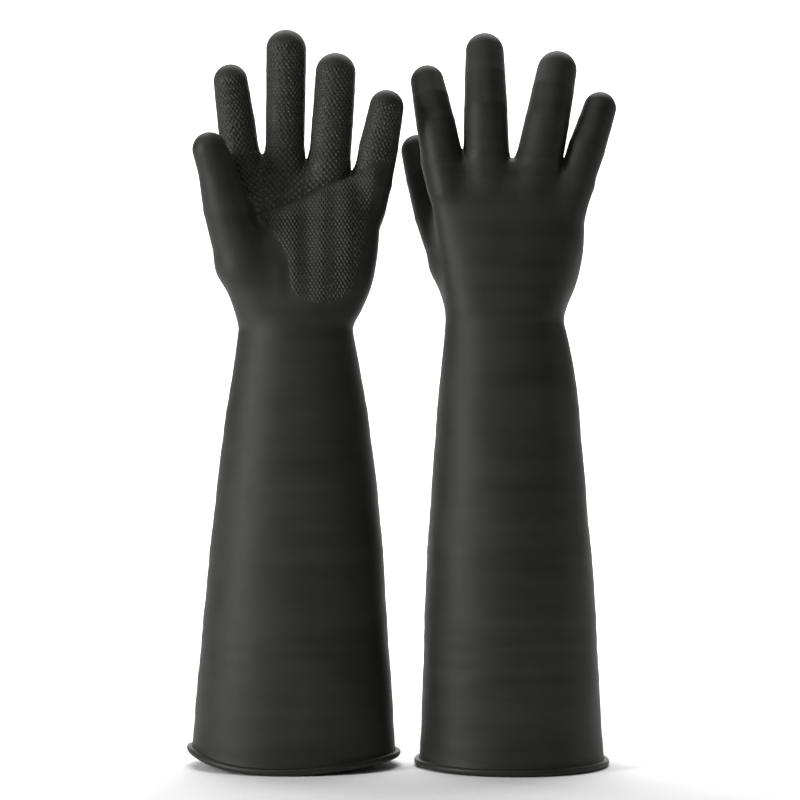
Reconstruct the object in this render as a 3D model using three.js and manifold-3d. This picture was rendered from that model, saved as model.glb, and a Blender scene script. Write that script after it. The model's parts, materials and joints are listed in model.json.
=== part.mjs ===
// A pair of long black rubber gauntlet gloves, standing on their rolled cuffs with the fingers up.
// Millimetres, +Z up. The left glove shows its palm towards -Y and the right glove its back.
// Each glove is one thin skin that bends: it is divided here only where it bends, at the wrist and
// at the finger and thumb joints, and each division is a hollow ball inside a matching socket.

import * as THREE from 'three';
import { mergeVertices } from 'three/addons/utils/BufferGeometryUtils.js';
import { LoftGeometry } from 'three/addons/geometries/LoftGeometry.js';
import Module from 'manifold-3d';

const wasm = await Module();
wasm.setup();

// The skin and its clearances
const SKIN = 1.8;
const GAP = 0.3;
const BALL_CLEARANCE = 0.6;
const BALL_RELIEF = 1;
const BALL_WALL = 3.4;
const WRIST_BALL_WALL = 4;
const WRIST_CLEARANCE = 1.6;
const BEND_MARGIN = 3;

// How far each cut runs past the form that it cuts, and how far the cuts at a ball reach, in radii
const OVERCUT = 1;
const CANAL_REACH = 1.2;
const THROAT_REACH = 1.1;
const NOTCH_DEPTH = 1.6;
const NOTCH_WIDTH = 2.1;

// Facet counts
const STALL_SIDES = 10;
const BALL_ROWS = 6;
const DOME_STEPS = 4;
const CUFF_SIDES = 24;
const WRIST_SIDES = 16;
const WRIST_ROWS = 8;

// The rolled bead around the cuff
const BEAD_RADIUS = 3.1;
const BEAD_SQUASH = 0.45;
const BEAD_STEPS = 8;
const CUFF_FLARE = 2.6;
const FLARE_HEIGHT = 9;

// How the joints bend, in degrees: built-in curve at rest, and travel towards the palm
const KNUCKLE = { rest: 8, travel: 60 };
const MIDDLE_JOINT = { rest: 10, travel: 70 };
const TIP_JOINT = { rest: 6, travel: 42 };
const THUMB_KNUCKLE = { rest: 0, travel: 45 };
const THUMB_JOINT = { rest: 6, travel: 50 };
const WRIST_TRAVEL = 35;

// Each finger's length is shared out between its three stalls
const STALL_SHARES = [0.42, 0.33, 0.25];
const FINGER_NAMES = ['index', 'middle', 'ring', 'little'];
const STALL_NAMES = ['base', 'mid', 'tip'];

// The thumb: its direction, and the way it folds in over the palm. The muscle at its root is a
// turned form too: its [radius, distance below the knuckle] points run down inside the palm.
const THUMB = {
  direction: new THREE.Vector3(-13.3, -14, 47.1).normalize(),
  inward: new THREE.Vector3(0.75, -0.66, 0),
  lengths: [30, 17],
  radii: [17.5, 15, 12.4],
  root: [[0, 79], [13, 65], [21.5, 45], [21, 24]],
};

const WRIST_HALF_DEPTH = 31;
const PALM_TOP = 452;
const STUB_LENGTH = 30;
const PALM_FULLNESS = 2.4;

// The knuckle line falls towards the little finger, by this much times the square of x
const KNUCKLE_DROOP = 0.0048;
const DROOP_STARTS = 391;

// Palm half-depths at the heights where each glove gives its edges
const PALM_HALF_DEPTHS = [31, 29.5, 26.5, 22.5, 18];

// Each glove, in its own frame: x = 0 at the middle of the wrist, palm towards -Y.
// cuff: [height, half width, half depth, centre x]; palm: [height, thumb edge, outer edge];
// thumb: where it leaves the palm;
// fingers: knuckle x and height, tilt to the right in degrees, height of the tip, radii at both ends.
const GLOVES = [
  {
    side: 'left',
    centreX: -79.4,
    palmFaces: 1,
    wrist: { height: 330.6, halfWidth: 43.3 },
    cuff: [
      [0, 77.2, 56, -1.5],
      [121.6, 68.8, 50, -0.4],
      [197.6, 61.6, 44.5, 0.7],
      [258.4, 54.7, 38.5, 0.7],
      [305, 46.8, 33, 0.5],
      [330.6, 43.3, 31, 0],
    ],
    palm: [
      [330.6, -43.3, 43.3],
      [360, -46.6, 54.5],
      [391, -48.6, 61.2],
      [422, -48.6, 66.9],
      [446, -52.6, 71.2],
    ],
    thumb: [-50.2, -26, 420.3],
    fingers: [
      { x: -40.3, z: 461.3, tilt: -6.8, top: 532.8, radii: [14.8, 12.4] },
      { x: -8.8, z: 463.6, tilt: 0.9, top: 560, radii: [15.8, 14] },
      { x: 25.8, z: 457.5, tilt: 3.5, top: 541.9, radii: [15.8, 14] },
      { x: 57, z: 443.1, tilt: 9.5, top: 513.8, radii: [14.6, 11.8] },
    ],
  },
  {
    side: 'right',
    centreX: 79.4,
    palmFaces: -1,
    wrist: { height: 336.7, halfWidth: 44.8 },
    cuff: [
      [0, 70.6, 60, 5.4],
      [121.6, 64.6, 53, 3.8],
      [197.6, 58.9, 46.5, 2.7],
      [258.4, 54.3, 39.5, 2.7],
      [305, 49, 34, 1.6],
      [336.7, 44.8, 31, 0],
    ],
    palm: [
      [336.7, -44.8, 44.8],
      [360, -47, 50],
      [391, -50, 57],
      [422, -54.5, 62.4],
      [446, -60, 66.5],
    ],
    thumb: [-53.5, -26.5, 420.3],
    fingers: [
      { x: -47.9, z: 460.6, tilt: -10.6, top: 532.8, radii: [14.8, 12] },
      { x: -14, z: 463.6, tilt: -1, top: 556.3, radii: [17, 13.8] },
      { x: 25.9, z: 457.5, tilt: 10, top: 543.4, radii: [16.8, 13.8] },
      { x: 55.1, z: 443.8, tilt: 17, top: 512.2, radii: [14, 11.4] },
    ],
  },
];

const skinRubber = new THREE.MeshStandardMaterial({ color: 0x2b2b28, roughness: 0.62, metalness: 0 });
const beadRubber = new THREE.MeshStandardMaterial({ color: 0x232321, roughness: 0.55, metalness: 0 });

const radians = THREE.MathUtils.degToRad;

// Turn a closed geometry into a solid that can be joined and cut
function solid(geometry) {
  const bare = new THREE.BufferGeometry();
  bare.setAttribute('position', geometry.getAttribute('position'));
  bare.setIndex(geometry.getIndex());
  const merged = mergeVertices(bare, 1e-4);
  const corners = merged.index.array;
  const kept = [];
  for (let i = 0; i < corners.length; i += 3) {
    const [a, b, c] = [corners[i], corners[i + 1], corners[i + 2]];
    if (a !== b && b !== c && c !== a) kept.push(a, b, c);
  }
  return new wasm.Manifold(new wasm.Mesh({
    numProp: 3,
    vertProperties: merged.attributes.position.array,
    triVerts: new Uint32Array(kept),
  }));
}

// Turn a solid back into a geometry; a glove whose palm faces +Y is mirrored front to back
function toGeometry(shape, palmFaces) {
  const { vertProperties, triVerts } = shape.getMesh();
  const positions = Float32Array.from(vertProperties);
  const corners = Uint32Array.from(triVerts);
  if (palmFaces < 0) {
    for (let i = 1; i < positions.length; i += 3) positions[i] *= -1;
    for (let i = 0; i < corners.length; i += 3) {
      [corners[i], corners[i + 1]] = [corners[i + 1], corners[i]];
    }
  }
  const geometry = new THREE.BufferGeometry();
  geometry.setAttribute('position', new THREE.BufferAttribute(positions, 3));
  geometry.setIndex(new THREE.BufferAttribute(corners, 1));
  geometry.computeVertexNormals();
  return geometry;
}

// A closed profile of [radius, height] points, turned about Z
function turned(profile, sides = STALL_SIDES) {
  const points = profile.map(([radius, height]) => new THREE.Vector2(radius, height));
  return new THREE.LatheGeometry(points, sides).rotateX(Math.PI / 2);
}

// A cone or cylinder standing on `from` and ending at `to`, both heights along Z
function cone(from, radiusFrom, to, radiusTo, sides) {
  return turned([[0, from], [radiusFrom, from], [radiusTo, to], [0, to]], sides);
}

// A ball whose poles lie on the hinge, which is the X axis
function ball(radius, height) {
  return new THREE.SphereGeometry(radius, STALL_SIDES, BALL_ROWS)
    .rotateZ(Math.PI / 2)
    .translate(0, 0, height);
}

// The way through a ball, for the finger inside
function canal(radius, height) {
  const reach = radius * CANAL_REACH;
  return cone(height - reach, radius - BALL_WALL, height + reach, radius - BALL_WALL);
}

// The socket around a ball: its flats, not its corners, keep the clearance
function socket(radius, height) {
  const facetLoss = Math.cos(Math.PI / STALL_SIDES) * Math.cos(Math.PI / (2 * BALL_ROWS));
  return ball((radius - BALL_RELIEF + BALL_CLEARANCE) / facetLoss, height);
}

// The notch on the palm side of a joint, which closes as the joint bends: a prism along X whose
// edge is the hinge
function notch(joint, radius, height) {
  const halfAngle = radians((joint.rest + joint.travel + BEND_MARGIN) / 2);
  const depth = radius * NOTCH_DEPTH;
  const rise = depth * Math.tan(halfAngle);
  const outline = new THREE.Shape([
    new THREE.Vector2(0, 0),
    new THREE.Vector2(-depth, rise),
    new THREE.Vector2(-depth, -rise),
  ]);
  const width = radius * NOTCH_WIDTH;
  return new THREE.ExtrudeGeometry(outline, { depth: width, bevelEnabled: false })
    .translate(0, 0, -width / 2)
    .applyMatrix4(new THREE.Matrix4().makeBasis(
      new THREE.Vector3(0, 1, 0),
      new THREE.Vector3(0, 0, 1),
      new THREE.Vector3(1, 0, 0),
    ))
    .translate(0, 0, height);
}

// One stall: a tapering hollow tube on Z. Its start is a socket and a notch. Its end is either
// a hollow ball, with a notch, for the next stall, or a closed dome.
function stall(radiusFrom, radiusTo, length, jointBefore, jointAfter) {
  const bore = (radius) => radius - SKIN;
  let shape;
  if (jointAfter) {
    shape = solid(cone(0, radiusFrom, length, radiusTo))
      .subtract(solid(cone(-OVERCUT, bore(radiusFrom), length + OVERCUT, bore(radiusTo))))
      .subtract(solid(notch(jointAfter, radiusTo, length)))
      .add(solid(ball(radiusTo - BALL_RELIEF, length)))
      .subtract(solid(canal(radiusTo, length)));
  } else {
    shape = solid(turned(domed(0, radiusFrom, length, radiusTo)))
      .subtract(solid(turned(domed(-OVERCUT, bore(radiusFrom), length, bore(radiusTo)))));
  }
  return shape
    .subtract(solid(socket(radiusFrom, 0)))
    .subtract(solid(notch(jointBefore, radiusFrom, 0)));
}

// The profile of a cone that ends in a half sphere
function domed(from, radiusFrom, to, radiusTo) {
  const profile = [[0, from], [radiusFrom, from]];
  for (let i = 0; i <= DOME_STEPS; i++) {
    const angle = (Math.PI / 2) * (i / DOME_STEPS);
    profile.push([radiusTo * Math.cos(angle), to + radiusTo * Math.sin(angle)]);
  }
  profile[profile.length - 1][0] = 0;
  return profile;
}

// A ring of points around an oval that may be squarer than an ellipse
function oval(halfWidth, halfDepth, centreX, height, fullness = 2, sides = CUFF_SIDES) {
  const points = [];
  for (let i = 0; i < sides; i++) {
    const angle = (i / sides) * Math.PI * 2;
    const [cosine, sine] = [Math.cos(angle), Math.sin(angle)];
    points.push(new THREE.Vector3(
      centreX + halfWidth * Math.sign(cosine) * Math.abs(cosine) ** (2 / fullness),
      halfDepth * Math.sign(sine) * Math.abs(sine) ** (2 / fullness),
      height,
    ));
  }
  return points;
}

// A run of [height, ...sizes] stations, read at any height, straight between two stations
function stationCurve(stations) {
  const heights = stations.map((station) => station[0]);
  return (height) => {
    let i = heights.findIndex((h) => h >= height);
    if (i < 0) i = heights.length - 1;
    const upper = Math.max(i, 1);
    const t = (height - heights[upper - 1]) / (heights[upper] - heights[upper - 1]);
    return stations[upper].slice(1).map((size, k) => {
      return THREE.MathUtils.lerp(stations[upper - 1][k + 1], size, t);
    });
  };
}

// The wrist ball: an oval turned about the wrist's hinge, so it can turn inside its socket
function wristBall(glove, grow = 0) {
  return new THREE.SphereGeometry(1, WRIST_SIDES, WRIST_ROWS)
    .rotateZ(Math.PI / 2)
    .scale(glove.wrist.halfWidth + grow, WRIST_HALF_DEPTH + grow, WRIST_HALF_DEPTH + grow)
    .translate(0, 0, glove.wrist.height);
}

// The notches at the front and back of the wrist, which close as it bends either way
function wristNotches(glove) {
  const depth = WRIST_HALF_DEPTH * 2;
  const rise = depth * Math.tan(radians((WRIST_TRAVEL + BEND_MARGIN) / 2));
  const outline = new THREE.Shape([
    new THREE.Vector2(0, 0),
    new THREE.Vector2(depth, -rise),
    new THREE.Vector2(depth, rise),
  ]);
  const width = glove.wrist.halfWidth * 3;
  const alongX = new THREE.Matrix4().makeBasis(
    new THREE.Vector3(0, 1, 0),
    new THREE.Vector3(0, 0, 1),
    new THREE.Vector3(1, 0, 0),
  );
  const back = new THREE.ExtrudeGeometry(outline, { depth: width, bevelEnabled: false })
    .translate(0, 0, -width / 2)
    .applyMatrix4(alongX);
  const front = back.clone().rotateZ(Math.PI);
  const atWrist = (geometry) => solid(geometry.translate(0, 0, glove.wrist.height));
  return atWrist(back).add(atWrist(front));
}

// The rolled bead: a ring with a round section, flattened where it stands on the floor
function cuffBead(glove) {
  const [, halfWidth, halfDepth, centreX] = glove.cuff[0];
  const sections = [];
  for (let i = 0; i <= BEAD_STEPS; i++) {
    const angle = ((i + 0.5) / BEAD_STEPS) * Math.PI * 2 - Math.PI / 2;
    const out = BEAD_RADIUS * Math.cos(angle) + CUFF_FLARE - SKIN / 2;
    const lift = BEAD_RADIUS * (1 + Math.sin(angle));
    const height = i % BEAD_STEPS === BEAD_STEPS - 1 || i % BEAD_STEPS === 0 ? 0 : lift - BEAD_SQUASH;
    sections.push(oval(halfWidth + out, halfDepth + out, centreX, height));
  }
  return solid(new LoftGeometry(sections));
}

// The gauntlet: a tapering sleeve from just above the bead up to the wrist, with the wrist's ball
function gauntlet(glove) {
  const sizes = stationCurve(glove.cuff);
  const bottom = 2 * BEAD_RADIUS - BEAD_SQUASH + GAP;
  const top = glove.wrist.height;
  const heights = [bottom, FLARE_HEIGHT * 2, ...glove.cuff.slice(1).map((station) => station[0])];
  const wall = (offset) => heights.map((height) => {
    const [halfWidth, halfDepth, centreX] = sizes(height);
    const flare = CUFF_FLARE * Math.max(0, 1 - (height - bottom) / FLARE_HEIGHT);
    return oval(halfWidth + flare - offset, halfDepth + flare - offset, centreX, height);
  });
  const outside = wall(0);
  const inside = wall(SKIN).reverse();
  const throat = new LoftGeometry([-THROAT_REACH, THROAT_REACH].map((end) => oval(
    glove.wrist.halfWidth - WRIST_BALL_WALL,
    WRIST_HALF_DEPTH - WRIST_BALL_WALL,
    0,
    top + end * WRIST_HALF_DEPTH,
    2,
    WRIST_SIDES,
  )), { capStart: true, capEnd: true });
  return solid(new LoftGeometry([...outside, ...inside, outside[0]]))
    .subtract(wristNotches(glove))
    .add(solid(wristBall(glove, -BALL_RELIEF)))
    .subtract(solid(throat));
}

// Where each finger leaves the palm, and each of its stall lengths
function fingerPlan(finger) {
  const angles = [KNUCKLE.rest, MIDDLE_JOINT.rest, TIP_JOINT.rest];
  let lean = 0;
  let rise = 0;
  angles.forEach((angle, i) => {
    lean += radians(angle);
    rise += STALL_SHARES[i] * Math.cos(lean);
  });
  const tilt = radians(finger.tilt);
  const tipRadius = finger.radii[1];
  const length = (finger.top - tipRadius - finger.z) / Math.cos(tilt) / rise;
  const lengths = STALL_SHARES.map((share) => share * length);
  const radii = [0, 1, 2, 3].map((i) => {
    const done = STALL_SHARES.slice(0, i).reduce((sum, share) => sum + share, 0);
    return THREE.MathUtils.lerp(finger.radii[0], tipRadius, done);
  });
  const frame = new THREE.Matrix4().makeRotationY(tilt).setPosition(finger.x, 0, finger.z);
  return { lengths, radii, frame };
}

// The thumb's own frame: Z along it, -Y the way it folds in over the palm
function thumbFrame(glove) {
  const along = THUMB.direction.clone();
  const hinge = new THREE.Vector3().crossVectors(along, THUMB.inward).normalize();
  const back = new THREE.Vector3().crossVectors(along, hinge);
  return new THREE.Matrix4().makeBasis(hinge, back, along).setPosition(...glove.thumb);
}

// The palm: a full oval sleeve from the wrist to the knuckles, joined to the five stubs that carry
// the balls of the fingers and the thumb
function palm(glove) {
  const inset = (offset, from, to) => {
    const rows = glove.palm.map(([height, inner, outer], i) => [height, inner, outer, PALM_HALF_DEPTHS[i]]);
    const sizes = stationCurve(rows);
    const heights = [from, ...rows.slice(1).map((row) => row[0]), to];
    return solid(new LoftGeometry(heights.map((height) => {
      const [inner, outer, halfDepth] = sizes(height);
      const fullness = THREE.MathUtils.mapLinear(height, from, to, 2, PALM_FULLNESS);
      const ring = oval((outer - inner) / 2 - offset, halfDepth - offset, (inner + outer) / 2, height,
        fullness, WRIST_SIDES);
      const share = Math.max(0, (height - DROOP_STARTS) / (to - DROOP_STARTS));
      for (const point of ring) point.z -= share * KNUCKLE_DROOP * Math.max(0, point.x) ** 2;
      return ring;
    }), { capStart: true, capEnd: true }));
  };
  const start = glove.wrist.height;
  let outside = inset(0, start, PALM_TOP);
  let inside = inset(SKIN, start - OVERCUT, PALM_TOP - SKIN);
  const notches = [];
  const balls = [];
  const canals = [];
  const branch = (frame, joint, root, radius) => {
    const place = (geometry) => solid(geometry.applyMatrix4(frame));
    const form = (offset) => turned([
      ...root.map(([size, below]) => [Math.max(0, size - offset), offset - below]),
      [radius - offset, 0],
      [0, 0],
    ]);
    outside = outside.add(place(form(0)));
    inside = inside.add(place(form(SKIN)));
    notches.push(place(notch(joint, radius, 0)));
    balls.push(place(ball(radius - BALL_RELIEF, 0)));
    canals.push(place(canal(radius, 0)));
  };
  for (const finger of glove.fingers) {
    const { radii, frame } = fingerPlan(finger);
    branch(frame, KNUCKLE, [[0, STUB_LENGTH], [radii[0], STUB_LENGTH]], radii[0]);
  }
  branch(thumbFrame(glove), THUMB_KNUCKLE, THUMB.root, THUMB.radii[0]);
  let shape = outside.subtract(inside);
  for (const cut of notches) shape = shape.subtract(cut);
  for (const part of balls) shape = shape.add(part);
  for (const cut of canals) shape = shape.subtract(cut);
  return shape
    .subtract(wristNotches(glove))
    .subtract(solid(wristBall(glove, WRIST_CLEARANCE)));
}

const pair = new THREE.Group();

for (const glove of GLOVES) {
  const facing = glove.palmFaces;
  const addMesh = (name, shape, material, parent) => {
    const mesh = new THREE.Mesh(toGeometry(shape, facing), material);
    mesh.name = `${glove.side}_${name}`;
    parent.add(mesh);
  };

  const whole = new THREE.Group();
  whole.position.x = glove.centreX;
  pair.add(whole);
  addMesh('cuff_bead', cuffBead(glove), beadRubber, whole);
  addMesh('gauntlet', gauntlet(glove), skinRubber, whole);
  addMesh('palm', palm(glove), skinRubber, whole);

  // A chain of stalls, each turned about the hinge at the end of the one before
  const addStalls = (root, names, joints, lengths, radii) => {
    let parent = root;
    names.forEach((name, i) => {
      const joint = new THREE.Group();
      joint.position.z = i === 0 ? 0 : lengths[i - 1];
      joint.rotation.x = facing * radians(joints[i].rest);
      parent.add(joint);
      addMesh(name, stall(radii[i], radii[i + 1], lengths[i], joints[i], joints[i + 1]), skinRubber, joint);
      parent = joint;
    });
  };

  glove.fingers.forEach((finger, i) => {
    const { lengths, radii } = fingerPlan(finger);
    const knuckle = new THREE.Group();
    knuckle.position.set(finger.x, 0, finger.z);
    knuckle.rotation.y = radians(finger.tilt);
    whole.add(knuckle);
    const names = STALL_NAMES.map((stallName) => `${FINGER_NAMES[i]}_${stallName}`);
    addStalls(knuckle, names, [KNUCKLE, MIDDLE_JOINT, TIP_JOINT], lengths, radii);
  });

  const frame = thumbFrame(glove);
  const hinge = new THREE.Vector3().setFromMatrixColumn(frame, 0);
  const along = new THREE.Vector3().setFromMatrixColumn(frame, 2);
  for (const direction of [hinge, along]) direction.y *= facing;
  const back = new THREE.Vector3().crossVectors(along, hinge);
  const thumb = new THREE.Group();
  thumb.setRotationFromMatrix(new THREE.Matrix4().makeBasis(hinge, back, along));
  const [thumbX, thumbY, thumbZ] = glove.thumb;
  thumb.position.set(thumbX, thumbY * facing, thumbZ);
  whole.add(thumb);
  addStalls(thumb, ['thumb_base', 'thumb_tip'], [THUMB_KNUCKLE, THUMB_JOINT], THUMB.lengths, THUMB.radii);
}

export default pair;
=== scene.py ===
import json
import math

import bpy
import numpy as np
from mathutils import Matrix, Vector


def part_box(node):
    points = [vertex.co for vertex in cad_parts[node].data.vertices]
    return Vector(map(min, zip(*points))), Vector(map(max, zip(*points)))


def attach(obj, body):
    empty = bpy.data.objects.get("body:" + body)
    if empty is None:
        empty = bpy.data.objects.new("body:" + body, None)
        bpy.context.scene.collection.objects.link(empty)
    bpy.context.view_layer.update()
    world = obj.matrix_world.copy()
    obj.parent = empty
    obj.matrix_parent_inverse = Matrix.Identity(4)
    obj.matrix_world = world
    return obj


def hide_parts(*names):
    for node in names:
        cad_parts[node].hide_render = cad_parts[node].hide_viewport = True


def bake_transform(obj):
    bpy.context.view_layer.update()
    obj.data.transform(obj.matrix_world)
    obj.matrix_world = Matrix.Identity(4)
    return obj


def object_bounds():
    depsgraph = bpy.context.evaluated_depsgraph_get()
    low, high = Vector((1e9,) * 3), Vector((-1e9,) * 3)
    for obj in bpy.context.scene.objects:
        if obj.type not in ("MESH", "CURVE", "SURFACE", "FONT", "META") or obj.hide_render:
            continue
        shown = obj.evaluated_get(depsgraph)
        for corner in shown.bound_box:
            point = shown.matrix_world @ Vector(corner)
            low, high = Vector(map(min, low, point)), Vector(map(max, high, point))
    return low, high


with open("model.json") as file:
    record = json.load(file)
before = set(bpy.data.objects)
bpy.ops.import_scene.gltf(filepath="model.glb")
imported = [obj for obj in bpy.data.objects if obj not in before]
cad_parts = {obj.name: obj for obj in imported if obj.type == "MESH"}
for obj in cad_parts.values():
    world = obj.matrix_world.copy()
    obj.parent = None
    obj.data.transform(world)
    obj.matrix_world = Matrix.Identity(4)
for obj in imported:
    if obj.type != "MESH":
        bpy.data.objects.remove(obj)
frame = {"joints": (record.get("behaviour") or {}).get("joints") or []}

import openvdb
from mathutils import Vector

# A pair of long black rubber gauntlet gloves, standing on their rolled cuffs with the fingers up.
# Each glove is worked out in its own frame, in millimetres: x = 0 at the middle of the wrist,
# the palm towards -y, z up from the floor. The right glove is then mirrored front to back.

CAD_BOX = [list(corner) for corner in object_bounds()]
JOINTS = {joint["name"]: joint for joint in frame["joints"]}
MM = 0.001

# ---- Driving sizes, in millimetres -------------------------------------------------------

SKIN = 1.8
FINGERS = ("index", "middle", "ring", "little")
TIP_CURL = math.radians(6)
THUMB_HINGE = (0.61, 0.69, 0.38)

# Fineness of the hand's skin, and of the sleeve's
HAND_GRAIN = 0.7
SLEEVE_ROUND = 200
SLEEVE_RISE = 200

# How softly the forms run into each other
JOINT_FILLET = 0.5
FINGER_FILLET = 0.3
PALM_FILLET = 7.0
THUMB_FILLET = 7.0
HEEL_FILLET = 6.0
PAD_FILLET = 12.0
KNUCKLE_FILLET = 8.0
TOP_FILLET = 10.0
WEB_FILLET = 1.5
WEB_RADIUS = 8.5

# How far a finger's root reaches down into the palm, and its radius there as a share of the knuckle's
ROOT_REACH = 26
ROOT_TAPER = 0.76

# The skin's own unevenness, and how far its ripples are apart
RIPPLE_HEIGHT = 0.22
RIPPLE_SIZE = 11.0

# The seam where the sleeve's skin passes into the hand's, above the wrist, and two heights about the wrist,
# below and above it
SEAM_RISE = 16
WRIST_BEND = (-28, 15)

# The rolled cuff
BEAD_RADIUS = 2.9
BEAD_STEP = 0.5
BEAD_OFFSET = 0.2
CUFF_FLARE = 0.7
FLARE_HEIGHT = 8.0

# The moulded grip: small raised cells in staggered rows; on a finger the rows are laid out round
# this radius, and they fade out between the two angles from the middle of its palm side
CELL_PITCH = 2.9
CELL_ROW = 2.35
CELL_HEIGHT = 0.6
FINGER_ROUND = 13.2
GRIP_EDGE = (math.radians(80), math.radians(58))

# Each glove, in its own frame:
# sleeve [share of the way up to the wrist, share of the cuff's extra width that is left, middle's x];
# rim_rise (how far the rim stands up at the side, how sharply) for the thumb side and the outer side;
# hand [height above the wrist, thumb edge, outer edge, front depth, back depth];
# fingers (radius at the knuckle, middle joint and tip, correction to the tip's reach, shift of the
# knuckle and of the tip to the outer side); webs: heights of the skin between the fingers;
# thumb: radii and shifts at its root, joint and tip, and the correction to its tip's reach;
# heel: the thumb's muscle (x, y, height above the wrist, radius)
GLOVES = {
    "left": {
        "cuff": {"half_width": 77.2, "half_depth": 56},
        "wrist": {"half_width": 43.3, "half_depth": 31},
        "sleeve": [(0, 1, -0.9), (0.14, 0.92, -0.5), (0.368, 0.764, 0.4), (0.598, 0.565, 1.5),
                   (0.782, 0.338, 1.6), (0.874, 0.2, 1.4), (0.966, 0.055, 0.8), (1, 0, 0.4)],
        "rim_rise": ((10.5, 3.2), (6.5, 1.3)),
        "hand": [(0, -43, 43.7, 31, 31), (18, -45, 50, 30.5, 30), (30, -46, 54, 30, 29),
                 (42, -46.5, 57, 29, 28), (60, -47.5, 60.5, 26, 26), (91, -48.5, 65.5, 20.5, 20.5),
                 (115, -52, 69.5, 15.5, 15)],
        "fingers": {
            "index": (14.7, 14.4, 13.0, -2.8, -0.9, -0.9),
            "middle": (14.8, 15.1, 15.2, -5.0, 1.1, 1.9),
            "ring": (15.8, 15.8, 15.3, -3.8, 0.5, 1.6),
            "little": (14.8, 14.9, 13.0, -3.2, 1.6, 3.4),
        },
        "webs": (463, 458.5, 449),
        "thumb": ((17.4, 14.4, 12.9), (0.1, 1.6, -0.7), 0),
        "heel": (-37.5, -14, 50, 21),
        "crotch_rise": {"index": 1, "middle": 0, "ring": 1, "little": 5},
    },
    "right": {
        "cuff": {"half_width": 70.1, "half_depth": 60},
        "wrist": {"half_width": 44.8, "half_depth": 31},
        "sleeve": [(0, 1, 5.7), (0.14, 0.895, 5.4), (0.361, 0.797, 4.6), (0.587, 0.587, 3.5),
                   (0.767, 0.387, 3.3), (0.858, 0.283, 2.9), (0.948, 0.116, 1.8), (1, 0, 0.4)],
        "rim_rise": ((0.6, 2.0), (0.0, 2.0)),
        "hand": [(0, -44.4, 45.2, 31, 31), (12, -45, 46.6, 30.5, 30), (24, -46.5, 49.6, 30, 29),
                 (36, -48, 52, 29, 28), (54, -50, 55.5, 26, 26), (85, -54, 59.5, 20.5, 20.5),
                 (109, -57.5, 62.5, 15.5, 15)],
        "fingers": {
            "index": (15.9, 15.0, 12.9, 1.4, 1.1, 1.2),
            "middle": (17.5, 16.8, 14.9, 3.4, 0.5, 1.6),
            "ring": (17.9, 17.1, 15.4, 2.2, 0.5, 2.9),
            "little": (13.8, 14.2, 12.6, 1.4, -0.4, 1.6),
        },
        "webs": (466.5, 460, 454),
        "thumb": ((16.8, 14.2, 12.8), (2.4, 1.4, 0.4), 8),
        "heel": (-37, -14, 46, 18.6),
        "crotch_rise": {"index": 1, "middle": 0, "ring": 1, "little": 5},
    },
}


# ---- Small helpers -----------------------------------------------------------------------

def unit(vector):
    return vector / np.linalg.norm(vector)


def smooth_step(low, high, value):
    t = np.clip((value - low) / (high - low), 0, 1)
    return t * t * (3 - 2 * t)


def smooth_curve(stations):
    """A function that runs smoothly through [position, value, ...] stations, without overshoot."""
    table = np.array(stations, float)
    at, values = table[:, 0], table[:, 1:]
    step = np.diff(at)[:, None]
    slope = np.diff(values, axis=0) / step
    product, total = slope[1:] * slope[:-1], slope[1:] + slope[:-1] + 1e-12
    middle = np.where(product > 0, 2 * product / total, 0)
    tangent = np.vstack([slope[:1], middle, slope[-1:]])

    def read(position):
        position = np.clip(position, at[0], at[-1])
        i = np.clip(np.searchsorted(at, position, side="right") - 1, 0, len(at) - 2)
        width = (at[i + 1] - at[i])[..., None]
        t = ((position - at[i]) / (at[i + 1] - at[i]))[..., None]
        value = (
            (1 + 2 * t) * (1 - t) ** 2 * values[i]
            + t * (1 - t) ** 2 * width * tangent[i]
            + t * t * (3 - 2 * t) * values[i + 1]
            + t * t * (t - 1) * width * tangent[i + 1]
        )
        return np.moveaxis(value, -1, 0)

    return read


def joined(a, b, fillet):
    """Two forms run together with a fillet; the lower value is the nearer form."""
    h = np.clip(0.5 + 0.5 * (b - a) / fillet, 0, 1)
    return b + (a - b) * h - fillet * h * (1 - h)


def limb(X, Y, Z, a, b, radius_a, radius_b):
    """How far outside a tapering limb with round ends each point is."""
    along = b - a
    t = ((X - a[0]) * along[0] + (Y - a[1]) * along[1] + (Z - a[2]) * along[2]) / (along @ along)
    t = np.clip(t, 0, 1)
    dx = X - a[0] - t * along[0]
    dy = Y - a[1] - t * along[1]
    dz = Z - a[2] - t * along[2]
    return np.sqrt(dx * dx + dy * dy + dz * dz) - (radius_a + (radius_b - radius_a) * t)


def pad(X, Y, Z, centre, radii):
    """How far outside an egg-shaped pad each point is."""
    size = min(radii)
    x, y, z = ((V - c) / r for V, c, r in zip((X, Y, Z), centre, radii))
    return (np.sqrt(x * x + y * y + z * z) - 1) * size


def ripple(X, Y, Z, size):
    """A slow, fixed unevenness between about -1 and 1, such as hand-dipped rubber has."""
    x, y, z = X / size, Y / size, Z / size
    around = np.sin(x * 1.3 + 1.7 * np.sin(z * 0.9)) * np.cos(z * 1.1 + 0.8)
    return (around + np.sin(y * 1.9 + z * 0.7 + 2.0)) * 0.5


# ---- One glove's form --------------------------------------------------------------------

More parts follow.
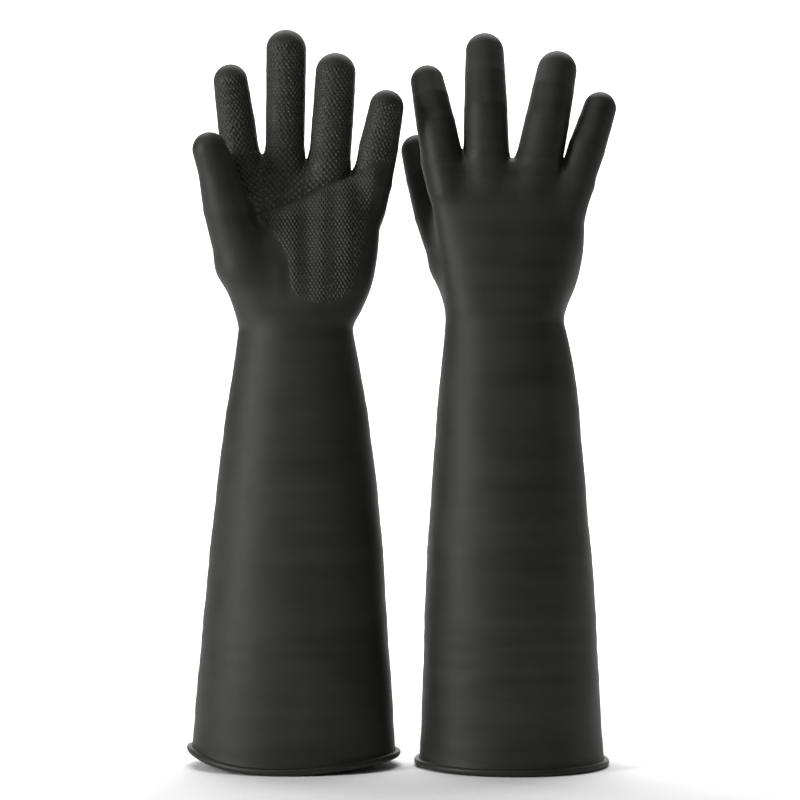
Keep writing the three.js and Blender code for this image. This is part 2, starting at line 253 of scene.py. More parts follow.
class Glove:
    """One glove: its skeleton, taken from the joints of the CAD model, and the form of its skin."""

    def __init__(self, side):
        self.side = side
        self.sizes = GLOVES[side]
        self.facing = 1 if side == "left" else -1
        wrist = JOINTS[f"{side}_wrist_bend"]["pos_m"]
        self.centre_x = wrist[0] / MM
        self.wrist = wrist[2] / MM
        self.seam = self.wrist + SEAM_RISE
        self.fingers = {name: self.finger_bones(name) for name in FINGERS}
        self.thumb = self.thumb_bones()
        cuff, wrist_size = self.sizes["cuff"], self.sizes["wrist"]
        self.sleeve_at = smooth_curve([
            (
                rise * self.wrist,
                wrist_size["half_width"] + (cuff["half_width"] - wrist_size["half_width"]) * share,
                wrist_size["half_depth"] + (cuff["half_depth"] - wrist_size["half_depth"]) * share,
                middle,
            )
            for rise, share, middle in self.sizes["sleeve"]
        ])
        self.hand_at = smooth_curve([(self.wrist + row[0], *row[1:]) for row in self.sizes["hand"]])

    # Frames

    def own(self, point):
        """A point in metres, in the shared frame, to this glove's own millimetres."""
        return np.array([point[0] / MM - self.centre_x, self.facing * point[1] / MM, point[2] / MM])

    def shared(self, points):
        """This glove's own millimetres to metres in the shared frame."""
        points = np.atleast_2d(points)
        return np.stack([points[:, 0] + self.centre_x, self.facing * points[:, 1], points[:, 2]], 1) * MM

    def joint(self, name):
        return self.own(JOINTS[f"{self.side}_{name}"]["pos_m"])

    def bend_range(self, name):
        """The widest bend of a joint, in radians."""
        return math.radians(max(abs(angle) for angle in JOINTS[f"{self.side}_{name}"]["range_deg"]))

    # Skeleton

    def tip_end(self, node, joint, direction, radius, correction):
        """The middle of a fingertip's dome, below the top of its CAD node."""
        top = self.own(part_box(f"{self.side}_{node}")[1])[2]
        reach = (top - radius - joint[2]) / direction[2] + correction
        return joint + direction * reach

    def finger_bones(self, name):
        sizes = self.sizes["fingers"][name]
        root_radius, middle_radius, tip_radius, correction, root_shift, tip_shift = sizes
        knuckle = self.joint(f"{name}_knuckle")
        middle = self.joint(f"{name}_middle_bend")
        last = self.joint(f"{name}_tip_bend")
        first_way, second_way = unit(middle - knuckle), unit(last - middle)
        hinge = unit(np.cross(first_way, second_way))
        tip_way = second_way * math.cos(TIP_CURL) + np.cross(hinge, second_way) * math.sin(TIP_CURL)
        end = self.tip_end(f"{name}_tip", last, tip_way, tip_radius, correction)
        points = [knuckle, middle, last, end]
        run = np.cumsum([0] + [np.linalg.norm(b - a) for a, b in zip(points, points[1:])])
        shifts = np.interp(run, run[[0, 3]], [root_shift, tip_shift])
        points = [point + np.array([shift, 0, 0]) for point, shift in zip(points, shifts)]
        radii = np.interp(run, run[[0, 1, 3]], [root_radius, middle_radius, tip_radius])
        return {"points": points, "radii": radii, "run": run}

    def thumb_bones(self):
        radii, shifts, correction = self.sizes["thumb"]
        knuckle, last = self.joint("thumb_knuckle"), self.joint("thumb_tip_bend")
        way = unit(last - knuckle)
        inward = unit(np.cross(np.array(THUMB_HINGE), way))
        tip_way = unit(way + inward * math.tan(TIP_CURL))
        end = self.tip_end("thumb_tip", last, tip_way, radii[2], correction)
        points = [knuckle, last, end]
        run = np.cumsum([0] + [np.linalg.norm(b - a) for a, b in zip(points, points[1:])])
        points = [point + np.array([shift, 0, 0]) for point, shift in zip(points, shifts)]
        return {"points": points, "radii": radii, "run": run}

    # Form

    def sleeve_form(self, X, Y, Z):
        """The gauntlet, a tapering oval tube, which passes into the flat of the hand."""
        half_width, half_depth, centre = self.sleeve_at(Z)
        thumb_edge, outer_edge, front, back = self.hand_at(Z)
        in_hand = smooth_step(self.wrist - 4, self.wrist + 14, Z)
        half_width = half_width + (0.5 * (outer_edge - thumb_edge) - half_width) * in_hand
        centre = centre + (0.5 * (outer_edge + thumb_edge) - centre) * in_hand
        depth = np.where(Y < 0, front, back)
        half_depth = half_depth + (depth - half_depth) * in_hand
        power = 2.0 + 0.35 * in_hand
        x, y = X - centre, Y + 0 * Z
        ratio = (np.abs(x / half_width) ** power + np.abs(y / half_depth) ** power) ** (1 / power)
        ratio = np.maximum(ratio, 1e-3)
        return np.sqrt(x * x + y * y) * (1 - 1 / ratio)

    def finger_form(self, X, Y, Z, name):
        bones = self.fingers[name]
        points, radii = bones["points"], bones["radii"]
        root = points[0] - unit(points[1] - points[0]) * ROOT_REACH
        form = limb(X, Y, Z, root, points[0], radii[0] * ROOT_TAPER, radii[0])
        for i in range(3):
            part = limb(X, Y, Z, points[i], points[i + 1], radii[i], radii[i + 1])
            form = joined(form, part, JOINT_FILLET)
        return form

    def thumb_form(self, X, Y, Z):
        points, radii = self.thumb["points"], self.thumb["radii"]
        x, y, rise, heel_radius = self.sizes["heel"]
        heel = np.array([x, y, self.wrist + rise])
        wrist_side = np.array([-23.5, -5.0, self.wrist + 18])
        form = limb(X, Y, Z, heel, points[0], heel_radius, radii[0])
        form = joined(form, limb(X, Y, Z, wrist_side, heel, 19.0, heel_radius), HEEL_FILLET)
        for i in range(2):
            part = limb(X, Y, Z, points[i], points[i + 1], radii[i], radii[i + 1])
            form = joined(form, part, JOINT_FILLET)
        return form

    def crease(self, X, Y, Z):
        """The creases of the palm: how deep the skin is drawn in, from the side that faces -y."""
        rise = self.wrist
        lines = [
            (1.7, 4.2, [(-28, 84), (-9, 91.5), (9, 98.5), (26, 108), (41, 116)]),
            (0.9, 5.5, [(-28, 84), (-16, 70), (-7, 52), (-3, 31)]),
        ]
        depth = 0
        for deepest, width, corners in lines:
            nearest = None
            for (x1, z1), (x2, z2) in zip(corners, corners[1:]):
                dx, dz = x2 - x1, z2 - z1
                t = np.clip(((X - x1) * dx + (Z - rise - z1) * dz) / (dx * dx + dz * dz), 0, 1)
                away = np.hypot(X - x1 - t * dx, Z - rise - z1 - t * dz)
                nearest = away if nearest is None else np.minimum(nearest, away)
            depth = depth + deepest * np.exp(-((nearest / width) ** 2))
        return depth * smooth_step(-4, -12, Y)

    def body_form(self, X, Y, Z):
        """The sleeve and the flat of the hand, with the pads of the palm, but no fingers."""
        knuckle_line = self.wrist + 121 - 0.0048 * np.maximum(X, 0) ** 2
        form = self.sleeve_form(X, Y, Z)
        form = -joined(-form, -(Z - knuckle_line), TOP_FILLET)
        rise = self.wrist
        form = joined(form, pad(X, Y, Z, (-22, -13, rise + 58), (25, 15.5, 38)), PAD_FILLET)
        form = joined(form, pad(X, Y, Z, (36, -9, rise + 62), (24, 17, 46)), PAD_FILLET)
        for name in FINGERS:
            bones = self.fingers[name]
            way = unit(bones["points"][1] - bones["points"][0])
            top = bones["points"][0] + np.array([0, -6.0, 0]) - way * 4
            low = bones["points"][0] + np.array([0, -5.0, 0]) - way * 20
            form = joined(form, limb(X, Y, Z, top, low, 13.2, 12.4), KNUCKLE_FILLET)
        return form

    def form(self, X, Y, Z):
        """Below zero inside the glove and above zero outside, about in millimetres near the skin."""
        fingers = None
        for name in FINGERS:
            one = self.finger_form(X, Y, Z, name)
            fingers = one if fingers is None else joined(fingers, one, FINGER_FILLET)
        for first, second, height in zip(FINGERS, FINGERS[1:], self.sizes["webs"]):
            a, b = self.fingers[first]["points"][0].copy(), self.fingers[second]["points"][0].copy()
            a[2] = b[2] = height - WEB_RADIUS
            fingers = joined(fingers, limb(X, Y, Z, a, b, WEB_RADIUS, WEB_RADIUS), WEB_FILLET)
        form = joined(self.body_form(X, Y, Z), fingers, PALM_FILLET)
        form = joined(form, self.thumb_form(X, Y, Z), THUMB_FILLET)
        form = form + self.crease(X, Y, Z)
        return form + RIPPLE_HEIGHT * ripple(X, Y, Z, RIPPLE_SIZE)

    def slope(self, points, step=0.04):
        """The form's value at each point, and its outward direction there."""
        X, Y, Z = points.T
        value = self.form(X, Y, Z)
        slope = np.stack([
            self.form(X + step, Y, Z) - self.form(X - step, Y, Z),
            self.form(X, Y + step, Z) - self.form(X, Y - step, Z),
            self.form(X, Y, Z + step) - self.form(X, Y, Z - step),
        ], 1) / (2 * step)
        return value, slope

    def settle(self, points, rounds=2):
        """Move points onto the skin, and return them with the skin's outward normals."""
        for _ in range(rounds):
            value, slope = self.slope(points)
            strength = np.maximum((slope * slope).sum(1), 0.05)
            points = points - slope * np.clip(value / strength, -1.5, 1.5)[:, None]
        _, slope = self.slope(points)
        return points, slope / np.linalg.norm(slope, axis=1, keepdims=True)


# ---- The moulded grip --------------------------------------------------------------------

def cells(u, v):
    """Raised cells in staggered rows, from 0 between them to 1 on top."""
    wave = np.cos(2 * math.pi * u / CELL_PITCH) * np.cos(math.pi * v / CELL_ROW)
    return smooth_step(-0.1, 0.62, wave)


def crease_height(x):
    """How high above the wrist the crease under the finger pads runs."""
    return np.interp(x, [-28, -9, 9, 26, 41, 60], [84, 91.5, 98.5, 108, 116, 124])


def palm_patch(glove, X, Y, Z):
    """Where the palm carries the grip: over the outer heel of the hand, up to the crease."""
    rise = Z - glove.wrist
    inner_edge = np.interp(rise, [14, 22, 30, 52, 70, 84], [14, 2, -1.5, -4, -13, -25])
    outer_edge = np.interp(rise, [14, 22, 60, 91, 118], [36, 44, 53, 58, 62])
    lower_edge = 19 + 11 * (np.abs(X - 21) / 24) ** 2.6
    return (
        smooth_step(-0.6, 1.8, X - inner_edge)
        * smooth_step(-0.6, 1.8, outer_edge - X)
        * smooth_step(-0.6, 1.8, rise - lower_edge)
        * smooth_step(0.8, 3.0, crease_height(X) - rise)
        * smooth_step(-4, -8, Y)
    )


def finger_place(glove, name, X, Y, Z):
    """Where a point lies on a finger: how far along it, and how far round it from the palm side."""
    bones = glove.fingers[name]
    points, run = bones["points"], bones["run"]
    nearest = np.full(X.shape, 1e9)
    along, around = np.zeros(X.shape), np.zeros(X.shape)
    for i in range(3):
        a, way = points[i], unit(points[i + 1] - points[i])
        front = unit(np.array([0, -1.0, 0]) + way * way[1])
        side = np.cross(way, front)
        dx, dy, dz = X - a[0], Y - a[1], Z - a[2]
        t = dx * way[0] + dy * way[1] + dz * way[2]
        past = np.clip(t, -60 if i == 0 else 0, run[i + 1] - run[i] + (60 if i == 2 else 0)) - t
        sideways = dx * side[0] + dy * side[1] + dz * side[2]
        forward = dx * front[0] + dy * front[1] + dz * front[2]
        away = np.sqrt(past**2 + sideways**2 + forward**2)
        closer = away < nearest
        nearest = np.where(closer, away, nearest)
        along = np.where(closer, run[i] + t, along)
        around = np.where(closer, np.arctan2(sideways, forward), around)
    return nearest, along, around


def grip(glove, points):
    """The height of the grip at points on the skin, in millimetres."""
    X, Y, Z = points.T
    rise = Z - glove.wrist
    off_thumb = smooth_step(1.0, 4.0, glove.thumb_form(X, Y, Z))
    height = cells(X, Z) * palm_patch(glove, X, Y, Z)
    places = {name: finger_place(glove, name, X, Y, Z) for name in FINGERS}
    spans = np.stack([places[name][0] for name in FINGERS])
    order = np.sort(spans, axis=0)
    own = smooth_step(0.2, 1.6, order[1] - order[0])
    above_crease = smooth_step(0.8, 3.0, rise - crease_height(X))
    for row, name in enumerate(FINGERS):
        _, along, around = places[name]
        end = glove.fingers[name]["run"][-1] + glove.fingers[name]["radii"][-1]
        face = smooth_step(*GRIP_EDGE, np.abs(around))
        patch = (
            (spans[row] <= order[0] + 1e-6)
            * own
            * face
            * above_crease
            * smooth_step(end - 4, end - 8, along)
            * smooth_step(-1, -5, Y)
            * off_thumb
        )
        height = height + cells(FINGER_ROUND * around, along) * patch
    return CELL_HEIGHT * height


# ---- Meshes ------------------------------------------------------------------------------

def hand_skin(glove):
    """The outer skin of one hand from the seam up, as corners, quads and outward normals."""
    grain = HAND_GRAIN
    bones = list(glove.fingers.values()) + [glove.thumb]
    joints = np.array([point for bone in bones for point in bone["points"]])
    low = joints.min(0) - 24
    high = joints.max(0) + 24
    low[1], high[1] = low[1] - 14, high[1] + 20
    rows_below = 3
    low[2] = glove.seam - (rows_below + 0.5) * grain
    blocks = np.ceil((high - low) / (3 * grain)).astype(int)
    middles = [low[i] + grain * (3 * np.arange(blocks[i]) + 1) for i in range(3)]
    coarse = glove.form(*np.meshgrid(*middles, indexing="ij", sparse=True))
    level = np.sign(coarse) * 3 * grain
    for axis in range(3):
        level = level.repeat(3, axis)
    near = np.argwhere(np.abs(coarse) < 4 * grain)
    offsets = np.stack(np.meshgrid(*[np.arange(3)] * 3, indexing="ij"), -1).reshape(-1, 3)
    index = (near[:, None, :] * 3 + offsets[None]).reshape(-1, 3)
    for part in np.array_split(index, max(1, len(index) // 200000)):
        spot = low + part * grain
        level[tuple(part.T)] = glove.form(*spot.T)
    grid = openvdb.FloatGrid(3 * grain)
    grid.copyFromArray(np.ascontiguousarray(level, np.float32))
    corners, quads = grid.convertToQuads()[:2]
    corners, quads = np.array(corners, float), np.array(quads, int)
    row = np.floor(corners[:, 2] + 1e-6)
    quads = quads[(row[quads] >= rows_below).all(1)]
    used, quads = np.unique(quads, return_inverse=True)
    quads = quads.reshape(-1, 4)
    points = low + corners[used] * grain
    points, normals = glove.settle(points, 3)
    rim = np.unique(border(quads))
    for _ in range(4):
        points[rim, 2] = glove.seam
        value, slope = glove.slope(points[rim])
        flat = slope[:, :2]
        points[rim, :2] -= flat * (value / (flat * flat).sum(1))[:, None]
    _, slope = glove.slope(points[rim])
    normals[rim] = slope / np.linalg.norm(slope, axis=1, keepdims=True)
    across = np.cross(points[quads[:, 2]] - points[quads[:, 0]], points[quads[:, 3]] - points[quads[:, 1]])
    if (across * normals[quads[:, 0]]).sum() < 0:
        quads = quads[:, ::-1]
    return points, normals, quads


def border(quads):
    """The open edges of a sheet of quads, each as (from, to) in the quads' own turning sense."""
    edges = np.concatenate([quads[:, [i, (i + 1) % 4]] for i in range(4)])
    key = edges.min(1) * (edges.max() + 1) + edges.max(1)
    _, first, count = np.unique(key, return_index=True, return_counts=True)
    return edges[first[count == 1]]


def gripped(glove, points, normals):
    """The skin with its grip raised, its new normals, and the share of the grip's height at each point."""
    height = grip(glove, points)
    step = 0.08
    slope = np.stack([
        (grip(glove, points + step * axis) - grip(glove, points - step * axis)) / (2 * step)
        for axis in np.eye(3)
    ], 1)
    slope -= (slope * normals).sum(1, keepdims=True) * normals
    turned = normals - slope
    turned /= np.linalg.norm(turned, axis=1, keepdims=True)
    return points + normals * height[:, None], turned, height / CELL_HEIGHT


def rubber_piece(name, glove, outer, outer_normals, inner, inner_normals, quads, raised, finish):
    """One closed piece of rubber: its outer skin, its inner skin, and the cut edges between them."""
    used, local = np.unique(quads, return_inverse=True)
    local = local.reshape(-1, 4)
    count = len(used)
    edge = border(local)
    cut = np.stack([edge[:, 1], edge[:, 0], edge[:, 0] + count, edge[:, 1] + count], 1)
    faces = np.concatenate([local, local[:, ::-1] + count, cut])
    points = np.concatenate([outer[used], inner[used]])
    directions = np.concatenate([outer_normals[used], inner_normals[used]])
    corner_normals = directions[faces]
    across = np.cross(points[cut[:, 2]] - points[cut[:, 0]], points[cut[:, 3]] - points[cut[:, 1]])
    across /= np.maximum(np.linalg.norm(across, axis=1, keepdims=True), 1e-9)
    corner_normals[len(faces) - len(cut):] = across[:, None, :]
    share = np.concatenate([raised[used], np.zeros(count)])
    return quad_mesh(name, glove, points, faces, corner_normals, share, finish)


def quad_mesh(name, glove, points, faces, corner_normals, raised, finish):
    """A mesh object from one glove's own millimetres, which keeps its place as made and its grip's height."""
    if glove.facing < 0:
        faces = faces[:, ::-1]
        corner_normals = corner_normals[:, ::-1] * np.array([1, -1, 1])
    mesh = bpy.data.meshes.new(name)
    mesh.vertices.add(len(points))
    mesh.vertices.foreach_set("co", glove.shared(points).astype(np.float32).ravel())
    mesh.loops.add(faces.size)
    mesh.loops.foreach_set("vertex_index", faces.astype(np.int32).ravel())
    mesh.polygons.add(len(faces))
    mesh.polygons.foreach_set("loop_start", np.arange(0, faces.size, 4, dtype=np.int32))
    mesh.polygons.foreach_set("use_smooth", np.ones(len(faces), bool))
    mesh.update(calc_edges=True)
    mesh.normals_split_custom_set(corner_normals.reshape(-1, 3).astype(np.float32))
    made_at = mesh.attributes.new("made_at", "FLOAT_VECTOR", "POINT")
    made_at.data.foreach_set("vector", points.astype(np.float32).ravel())
    height = mesh.attributes.new("raised", "FLOAT", "POINT")
    height.data.foreach_set("value", raised.astype(np.float32))
    thing = bpy.data.objects.new(name, mesh)
    bpy.context.scene.collection.objects.link(thing)
    mesh.materials.append(finish)
    return thing


# ---- The sleeve and its rolled cuff ------------------------------------------------------

def rim_lift(glove, x, z):
    """How far the cuff's sides stand up off the floor, fading out up the sleeve."""
    (thumb_rise, thumb_power), (outer_rise, outer_power) = glove.sizes["rim_rise"]
    share = np.abs(x - glove.sizes["sleeve"][0][2]) / glove.sizes["cuff"]["half_width"]
    lift = np.where(x < 0, thumb_rise * share**thumb_power, outer_rise * share**outer_power)
    return lift * (1 - smooth_step(0, 70, z))


def sleeve_skin(glove):
    """The outer skin of one sleeve, in rings from the rim up to the seam."""
    low = BEAD_RADIUS
    share = np.linspace(0, 1, SLEEVE_RISE + 1)
    level = low + (glove.seam - low) * (share + 0.35 * share * (share - 1))
    angle = np.linspace(0, 2 * math.pi, SLEEVE_ROUND, endpoint=False)
    Z, turn = np.meshgrid(level, angle, indexing="ij")
    half_width, half_depth, centre = glove.sleeve_at(Z)
    ways = np.stack([np.cos(turn), np.sin(turn)], -1)
    centre_y = -2 * smooth_step(glove.wrist - 10, glove.seam, Z)
    reach = half_width * half_depth / np.hypot(half_depth * ways[..., 0], half_width * ways[..., 1])
    for _ in range(8):
        X, Y = centre + reach * ways[..., 0], centre_y + reach * ways[..., 1]
        value = glove.form(X, Y, Z)
        ahead = glove.form(X + 0.05 * ways[..., 0], Y + 0.05 * ways[..., 1], Z)
        reach = reach - np.clip(value / np.maximum((ahead - value) / 0.05, 0.3), -4, 4)
    fade = 1 - smooth_step(glove.wrist - 40, glove.wrist, Z)
    flare = CUFF_FLARE * np.clip(1 - (Z - low) / FLARE_HEIGHT, 0, 1) ** 2
    bands = 0.10 * np.sin(Z * 0.33 + 2 * np.sin(Z * 0.071)) + 0.14 * np.sin(Z * 0.117 + 1.0)
    dents = 0.5 * ripple(reach * ways[..., 0], 20 * ways[..., 1], Z, 34.0)
    reach = reach + flare + fade * (bands + dents)
    X, Y = centre + reach * ways[..., 0], centre_y + reach * ways[..., 1]
    points = np.stack([X, Y, Z + rim_lift(glove, X, Z)], -1)
    around = np.roll(points, -1, 1) - np.roll(points, 1, 1)
    upward = np.empty_like(points)
    upward[1:-1] = points[2:] - points[:-2]
    upward[0], upward[-1] = points[1] - points[0], points[-1] - points[-2]
    normals = np.cross(around, upward)
    normals /= np.linalg.norm(normals, axis=-1, keepdims=True)
    top = points[-1]
    _, slope = glove.slope(top)
    normals[-1] = slope / np.linalg.norm(slope, axis=1, keepdims=True)
    rings, count = points.shape[:2]
    here = np.arange(rings * count).reshape(rings, count)
    after = np.roll(here, -1, 1)
    quads = np.stack([here[:-1], after[:-1], after[1:], here[1:]], -1).reshape(-1, 4)
    return points, normals, quads


def bead_mesh(glove, rim, rim_normals, finish):
    """The cuff's edge rolled outwards into a bead, whose free edge shows as a small step."""
    steps = 22
    out = rim_normals[:, :2] / np.linalg.norm(rim_normals[:, :2], axis=1, keepdims=True)
    turn = np.linspace(0, 2 * math.pi, steps, endpoint=False)
    start = math.radians(62)
    radius = BEAD_RADIUS - BEAD_STEP * (1 - turn / (2 * math.pi))
    across = BEAD_OFFSET + radius * np.cos(turn + start)
    upward = radius * np.sin(turn + start)
    count = len(rim)
    points = np.empty((count, steps, 3))
    points[:, :, 0] = rim[:, 0, None] + out[:, 0, None] * across
    points[:, :, 1] = rim[:, 1, None] + out[:, 1, None] * across
    points[:, :, 2] = rim[:, 2, None] + upward
    here = np.arange(count * steps).reshape(count, steps)
    ahead, round_on = np.roll(here, -1, 0), np.roll(here, -1, 1)
    both = np.roll(ahead, -1, 1)
    faces = np.stack([here, ahead, both, round_on], -1).reshape(-1, 4)
    way = np.empty((count, steps, 3))
    way[:, :, 0] = out[:, 0, None] * np.cos(turn + start)
    way[:, :, 1] = out[:, 1, None] * np.cos(turn + start)
    way[:, :, 2] = np.sin(turn + start)
    flat = points.reshape(-1, 3)
    across_face = np.cross(flat[faces[:, 2]] - flat[faces[:, 0]], flat[faces[:, 3]] - flat[faces[:, 1]])
    across_face /= np.linalg.norm(across_face, axis=1, keepdims=True)
    corner_normals = way.reshape(-1, 3)[faces]
    is_step = np.zeros((count, steps), bool)
    is_step[:, -1] = True
    corner_normals[is_step.ravel()] = across_face[is_step.ravel()][:, None, :]
    if (across_face * way.reshape(-1, 3)[faces[:, 0]]).sum() < 0:
        faces, corner_normals = faces[:, ::-1], corner_normals[:, ::-1]
    name = f"{glove.side}_rolled_bead"
    return quad_mesh(name, glove, flat, faces, corner_normals, np.zeros(len(flat)), finish)


# ---- Pieces, and where the skin is cut into them; the palm and the bead follow bodies ----

def plane_share(points, at, way):
    """How far each point lies past a plane, along its direction."""
    return (points - at) @ way


def limb_cuts(glove, bones, names, start_rise, first_fold):
    """Where one finger or thumb's skin is cut into pieces, and where each piece's bend starts and ends.

    Each cut is (point, direction); each bend is (first body, second body, start, end).
    """
    points, radii = bones["points"], bones["radii"]
    side = glove.side
    ways = [unit(b - a) for a, b in zip(points, points[1:])]
    fold_half = [
        0.75 * glove.bend_range(name) * radius for name, radius in zip(names["joints"][1:], radii[1:])
    ]
    start = points[0] + ways[0] * start_rise
    room = np.linalg.norm(points[1] - start) - fold_half[0] - 1.5
    end = start + ways[0] * min(first_fold * glove.bend_range(names["joints"][0]) * radii[0], room)
    bodies = [f"{side}_hand"] + [f"{side}_{node}" for node in names["nodes"]]
    cuts = [(start - ways[0] * 1.2 * HAND_GRAIN, ways[0])]
    bends = [(bodies[0], bodies[1], start, end)]
    for i in range(1, len(names["nodes"])):
        before, after = ways[i - 1], ways[i]
        along = unit(before + after)
        fold_start, fold_end = points[i] - along * fold_half[i - 1], points[i] + along * fold_half[i - 1]
        last = bends[-1][3]
        middle = 0.5 * (last + fold_start)
        cuts.append((middle, before))
        bends.append((bodies[i], bodies[i + 1], fold_start, fold_end))
    return cuts, bends


def owner_of_faces(glove, middles):
    """The finger or thumb that each face belongs to, by its nearest bones."""
    forms = [glove.finger_form(*middles.T, name) for name in FINGERS] + [glove.thumb_form(*middles.T)]
    return np.argmin(np.stack(forms), 0)


def build_glove(side, skin, bead_rubber):
    """All the visible pieces of one glove."""
    glove = Glove(side)
    outer, normals, quads = hand_skin(glove)
    inner = outer - normals * SKIN
    raised_points, raised_normals, raised = gripped(glove, outer, normals)
    middles = outer[quads].mean(1)
    owner = owner_of_faces(glove, middles)
    left_over = np.ones(len(quads), bool)

    def piece(name, chosen):
        thing = rubber_piece(
            f"{side}_{name}", glove, raised_points, raised_normals, inner, -normals,
            quads[chosen], raised, skin,
        )
        return thing

    limbs = [(name, [f"{name}_{part}" for part in ("base", "mid", "tip")],
              [f"{name}_{bend}" for bend in ("knuckle", "middle_bend", "tip_bend")],
              glove.fingers[name], glove.sizes["crotch_rise"][name]) for name in FINGERS]
    thumb_joints = ["thumb_knuckle", "thumb_tip_bend"]
    limbs.append(("thumb", ["thumb_base", "thumb_tip"], thumb_joints, glove.thumb, 0.0))
    for number, (_, nodes, joint_names, bones, start_rise) in enumerate(limbs):
        cuts, bends = limb_cuts(glove, bones, {"nodes": nodes, "joints": joint_names}, start_rise, 1.5)
        past = [plane_share(middles, at, way) > 0 for at, way in cuts]
        mine = left_over & (owner == number) & past[0]
        for i, node in enumerate(nodes):
            chosen = mine & past[i]
            if i + 1 < len(nodes):
                chosen &= ~past[i + 1]
            thing = piece(f"{node}_skin", chosen)
            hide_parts(f"{side}_{node}")
            first, second, start, end = bends[i]
            start, end = glove.shared(start)[0], glove.shared(end)[0]
            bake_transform(thing)
            left_over &= ~chosen
    palm = piece("palm_skin", left_over)
    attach(palm, f"{side}_hand")
    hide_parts(f"{side}_palm")

    rings, ring_normals, sleeve_quads = sleeve_skin(glove)
    flat, flat_normals = rings.reshape(-1, 3), ring_normals.reshape(-1, 3)
    sleeve = rubber_piece(
        f"{side}_sleeve_skin", glove, flat, flat_normals, flat - flat_normals * SKIN, -flat_normals,
        sleeve_quads, np.zeros(len(flat)), skin,
    )
    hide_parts(f"{side}_gauntlet")
    wrist = np.array([0, 0, glove.wrist])
    start, end = (glove.shared(wrist + np.array([0, 0, rise]))[0] for rise in WRIST_BEND)
    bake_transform(sleeve)

    bead = bead_mesh(glove, rings[0], ring_normals[0], bead_rubber)
    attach(bead, f"{side}_gauntlet")
    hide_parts(f"{side}_cuff_bead")


# ---- Finishes ----------------------------------------------------------------------------

class Wire:
    """The output of a shader node, with ordinary arithmetic."""

    def __init__(self, finish, socket):
        self.finish = finish
        self.socket = socket

    def math(self, operation, *values):
        inputs = dict(enumerate(values))
        return self.finish.node("ShaderNodeMath", {"operation": operation}, inputs)

    def __add__(self, other):
        return self.math("ADD", self, other)

    def __radd__(self, other):
        return self.math("ADD", other, self)

    def __sub__(self, other):
        return self.math("SUBTRACT", self, other)

    def __rsub__(self, other):
        return self.math("SUBTRACT", other, self)

    def __mul__(self, other):
        return self.math("MULTIPLY", self, other)

    def __rmul__(self, other):
        return self.math("MULTIPLY", other, self)

    def __truediv__(self, other):
        return self.math("DIVIDE", self, other)

    def __rtruediv__(self, other):
        return self.math("DIVIDE", other, self)

    def __pow__(self, other):
        return self.math("POWER", self, other)

    def __neg__(self):
        return self.math("MULTIPLY", self, -1)


class Finish:
    """A procedural finish, made of shader nodes."""

    def __init__(self, name):
        self.material = bpy.data.materials.new(name)
        self.material.use_nodes = True
        self.tree = self.material.node_tree
        self.tree.nodes.clear()

    def node(self, kind, settings, inputs, output=0):
        made = self.tree.nodes.new(kind)
        for key, value in settings.items():
            setattr(made, key, value)
        for key, value in inputs.items():
            if isinstance(value, Wire):
                self.tree.links.new(value.socket, made.inputs[key])
            else:
                made.inputs[key].default_value = value
        return Wire(self, made.outputs[output]) if made.outputs else made

    def attribute(self, name, output="Fac"):
        return self.node("ShaderNodeAttribute", {"attribute_name": name}, {}, output)

    def stretched(self, vector, factors):
        return self.node("ShaderNodeVectorMath", {"operation": "MULTIPLY"}, {0: vector, 1: factors})

    def noise(self, vector, scale, detail, roughness=0.5):
        return self.node(
            "ShaderNodeTexNoise", {},
            {"Vector": vector, "Scale": scale, "Detail": detail, "Roughness": roughness},
        )

    def colour_mix(self, factor, low, high):
        return self.node("ShaderNodeMix", {"data_type": "RGBA"}, {0: factor, 6: low, 7: high}, 2)

    def surface(self, inputs):
        shader = self.node("ShaderNodeBsdfPrincipled", {}, inputs)
        self.node("ShaderNodeOutputMaterial", {}, {"Surface": shader})
        return self.material


# The lighter colour painted on the tops of the grip cells: a painted highlight, standing in for their glints.
PAINTED_GLINT_COLOUR = (0.05, 0.05, 0.043)


def rubber_finish(name, dark, light, roughness, sheen):
    """Matte dipped rubber: nearly black, faintly mottled, with slow bands and a fine skin; the tops of the
    grip cells get a painted highlight in their colour, and are glossier.
    """
    finish = Finish(name)
    place = finish.attribute("made_at", "Vector")
    mottle = finish.noise(finish.stretched(place, (0.022, 0.022, 0.018)), 1.0, 3.0)
    bands = finish.noise(finish.stretched(place, (0.006, 0.006, 0.075)), 1.0, 2.0)
    grain = finish.noise(place, 0.9, 4.0, 0.6)
    specks = finish.noise(place, 0.16, 3.0, 0.65)
    tone = finish.node("ShaderNodeClamp", {}, {"Value": mottle * 0.9 + bands * 0.9 - 0.45})
    glint_and_gloss = finish.attribute("raised", "Fac")
    rubber = finish.colour_mix(tone, (*dark, 1), (*light, 1))
    # Painted highlight: the base colour lightens towards the tops of the grip cells; the same share also
    # lowers their roughness.
    colour = finish.colour_mix(glint_and_gloss * 0.55, rubber, (*PAINTED_GLINT_COLOUR, 1))
    gloss = finish.node(
        "ShaderNodeClamp", {},
        {"Value": roughness + (mottle - 0.5) * 0.10 + (bands - 0.5) * 0.12 + (specks - 0.5) * 0.06
         - glint_and_gloss * 0.14,
         "Min": 0.2, "Max": 0.95},
    )
    height = grain * 0.35 + specks * 0.5
    relief = finish.node(
        "ShaderNodeBump", {}, {"Strength": 0.22, "Distance": 0.00035, "Height": height},
    )
    return finish.surface({
        "Base Color": colour,
        "Roughness": gloss,
        "Normal": relief,
        "IOR": 1.5,
        "Specular IOR Level": sheen,
    })


# ---- Studio ------------------------------------------------------------------------------

def plain_finish(name, colour, roughness):
    finish = Finish(name)
    return finish.surface({"Base Color": (*colour, 1), "Roughness": roughness, "Specular IOR Level": 0.1})


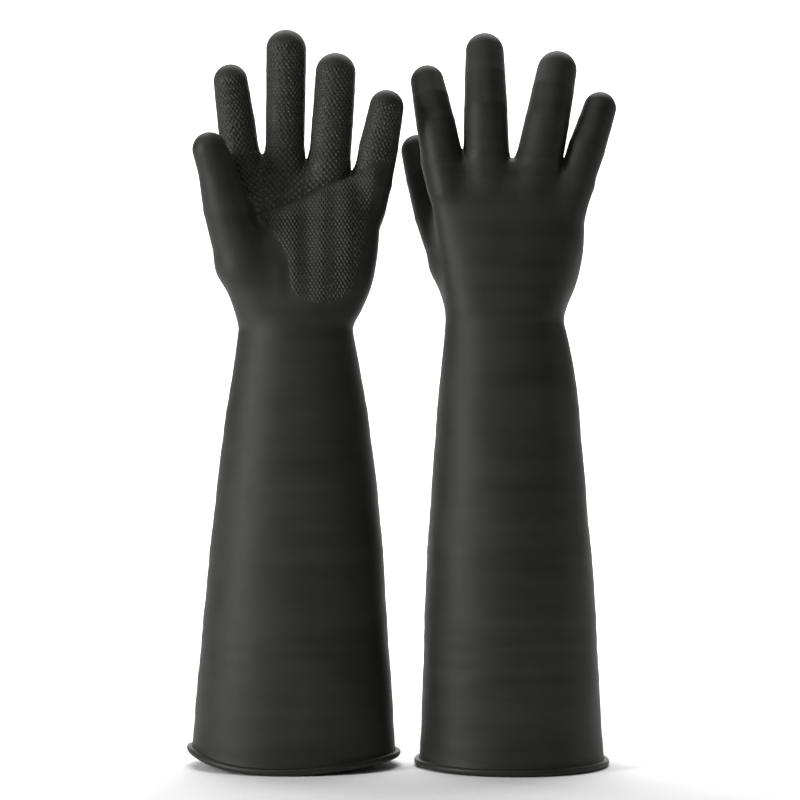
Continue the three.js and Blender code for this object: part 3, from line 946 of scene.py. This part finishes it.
def sweep(width, front, back, height, curve):
    """A floor that curves up into a wall behind the gloves."""
    steps = 24
    profile = [(front, 0.0), (back - curve, 0.0)]
    for i in range(1, steps + 1):
        angle = math.pi / 2 * i / steps
        profile.append((back - curve + curve * math.sin(angle), curve - curve * math.cos(angle)))
    profile.append((back, height))
    points, faces = [], []
    for y, z in profile:
        points += [(-width / 2, y, z), (width / 2, y, z)]
    for i in range(len(profile) - 1):
        faces.append((2 * i, 2 * i + 1, 2 * i + 3, 2 * i + 2))
    mesh = bpy.data.meshes.new("studio_sweep")
    mesh.from_pydata(points, [], faces)
    mesh.shade_smooth()
    floor = bpy.data.objects.new("studio_sweep", mesh)
    bpy.context.scene.collection.objects.link(floor)
    mesh.materials.append(plain_finish("studio_paper", (0.86, 0.86, 0.86), 0.9))
    return floor


def soft_light(name, place, aim, width, height, power):
    light = bpy.data.lights.new(name, "AREA")
    light.shape = "RECTANGLE"
    light.size, light.size_y = width, height
    light.energy = power
    lamp = bpy.data.objects.new(name, light)
    bpy.context.scene.collection.objects.link(lamp)
    lamp.location = place
    lamp.rotation_euler = (Vector(aim) - Vector(place)).to_track_quat("-Z", "Y").to_euler()
    return lamp


def studio():
    bpy.context.scene.view_settings.view_transform = "Standard"
    world = bpy.data.worlds.new("studio_air")
    bpy.context.scene.world = world
    world.use_nodes = True
    world.node_tree.nodes["Background"].inputs["Color"].default_value = (1, 1, 1, 1)
    world.node_tree.nodes["Background"].inputs["Strength"].default_value = 0.075
    sweep(12, -6, 3.2, 5, 1.2)
    low, high = (Vector(corner) for corner in CAD_BOX)
    middle = (low + high) / 2
    soft_light("key_from_the_left", middle + Vector((-1.4, -0.76, 0.2)), middle, 0.26, 1.4, 29)
    soft_light("fill_from_the_right", middle + Vector((1.6, -0.1, 0.2)), middle, 0.3, 1.4, 1.8)
    soft_light("from_above", middle + Vector((-0.2, -0.7, 1.5)), middle, 1.2, 0.8, 7)
    wall = middle + Vector((0, 3.0, 0.2))
    soft_light("wall_light", middle + Vector((0, 1.2, 2.2)), wall, 3.0, 1.0, 190)


def camera():
    lens = bpy.data.cameras.new("camera")
    lens.sensor_width = 36
    lens.lens = 106.6
    eye = bpy.data.objects.new("camera", lens)
    bpy.context.scene.collection.objects.link(eye)
    eye.location = (0.0004, -1.8, 0.277)
    eye.rotation_euler = (math.pi / 2, 0, 0)
    bpy.context.scene.camera = eye


SKIN_RUBBER = rubber_finish("skin_rubber", (0.0095, 0.0095, 0.0078), (0.027, 0.027, 0.0225), 0.56, 0.26)
BEAD_RUBBER = rubber_finish("bead_rubber", (0.0085, 0.0085, 0.007), (0.021, 0.021, 0.0175), 0.5, 0.3)
for side in GLOVES:
    build_glove(side, SKIN_RUBBER, BEAD_RUBBER)
studio()
camera()
